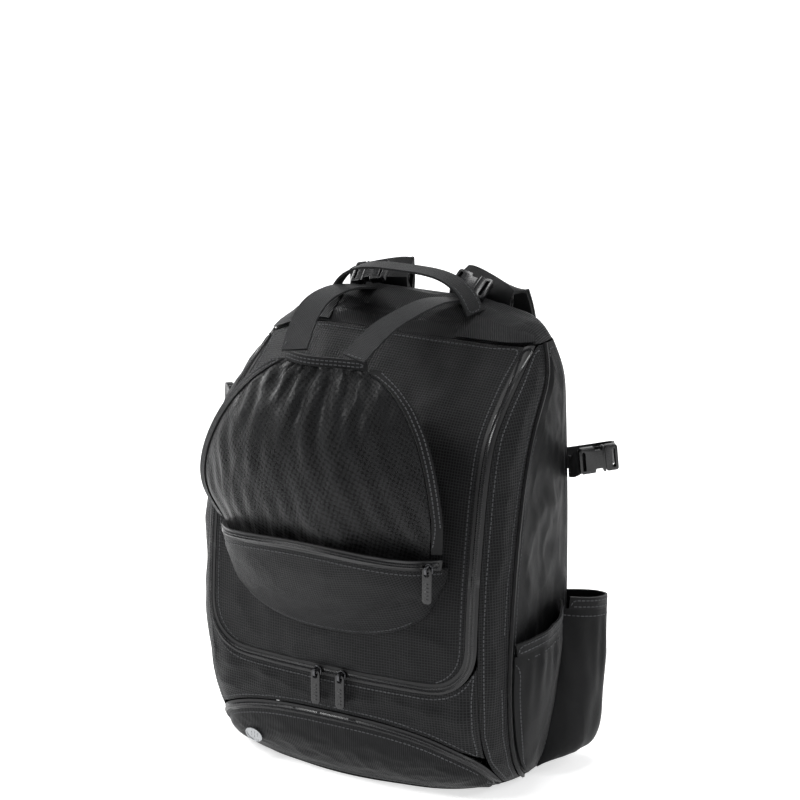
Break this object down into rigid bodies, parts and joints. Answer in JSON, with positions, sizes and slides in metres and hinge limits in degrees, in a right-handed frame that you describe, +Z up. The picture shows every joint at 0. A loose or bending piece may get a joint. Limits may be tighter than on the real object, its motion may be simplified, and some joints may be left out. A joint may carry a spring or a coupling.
{
  "type": "baseball bat backpack",
  "caption": "Upright sports backpack with a zipped door, a mesh net for a helmet, padded shoulder straps and open side sleeves with buckled loops for bats and bottles.",
  "frame": {"origin": "on the ground under the middle of the bag's body, where its base rests", "axes": "+Z up, -Y the front with the door and net, +Y the back with the shoulder straps, +X the bag's right in the picture"},
  "size_m": [0.4299, 0.2725, 0.4689],
  "materials": {
    "ripstop": "black small-grid ripstop cloth",
    "ribbed": "black finely ribbed cloth",
    "nylon": "black plain woven nylon",
    "binding": "black binding tape",
    "net": "black fine stretch mesh",
    "webbing": "black woven webbing",
    "zip": "black coil zip and tape",
    "plastic": "black glossy moulded plastic",
    "slider": "black nickel zip slider",
    "silver": "bright silver plate"
  },
  "bodies": {
    "bag": {"back_panel": "nylon", "badge": "silver", "base_panel": "nylon", "bat_hem_left": "binding", "bat_hem_right": "binding", "bat_plug_left": "plastic", "bat_plug_right": "plastic", "bat_sleeve_left": "nylon", "bat_sleeve_right": "nylon", "bat_socket_left": "plastic", "bat_socket_right": "plastic", "bat_strap_left": "webbing", "bat_strap_right": "webbing", "bottle_hem_left": "binding", "bottle_hem_right": "binding", "bottle_pocket_left": "nylon", "bottle_pocket_right": "nylon", "carry_handle": "webbing", "door_panel": "ripstop", "front_lower": "ripstop", "gusset_left": "ripstop", "gusset_right": "ripstop", "helmet_net": "net", "helmet_strap_left": "webbing", "helmet_strap_right": "webbing", "ladder_lock_left": "plastic", "ladder_lock_right": "plastic", "main_slider_left": "slider", "main_slider_right": "slider", "main_zip": "zip", "net_binding_left": "binding", "net_binding_right": "binding", "net_hem": "binding", "piping_left": "binding", "piping_right": "binding", "shoe_flap": "ribbed", "shoe_zip": "zip", "shoulder_strap_left": "nylon", "shoulder_strap_right": "nylon", "side_panel_left": "nylon", "side_panel_right": "nylon", "stow_pocket": "ripstop", "stow_slider": "slider", "stow_zip": "zip", "strap_plug_left": "plastic", "strap_plug_right": "plastic", "strap_socket_left": "plastic", "strap_socket_right": "plastic", "strap_web_left": "webbing", "strap_web_right": "webbing", "top_yoke": "ribbed", "yoke_flap_left": "ribbed", "yoke_flap_right": "ribbed"},
    "main_pull_left": {"main_pull_left": "plastic"},
    "main_pull_right": {"main_pull_right": "plastic"},
    "stow_pull": {"stow_pull": "plastic"}
  },
  "joints": [
    {"name": "main_pull_left_swing", "type": "hinge", "parent": "bag", "child": "main_pull_left", "pos_m": [-0.01305, -0.10473, 0.11375], "axis": [-1, 0, 0], "range_deg": [0, 150]},
    {"name": "main_pull_right_swing", "type": "hinge", "parent": "bag", "child": "main_pull_right", "pos_m": [0.01305, -0.10473, 0.11375], "axis": [-1, 0, 0], "range_deg": [0, 150]},
    {"name": "stow_pull_swing", "type": "hinge", "parent": "bag", "child": "stow_pull", "pos_m": [0.11174, -0.11797, 0.23922], "axis": [-1, 0, 0], "range_deg": [0, 150]}
  ]
}
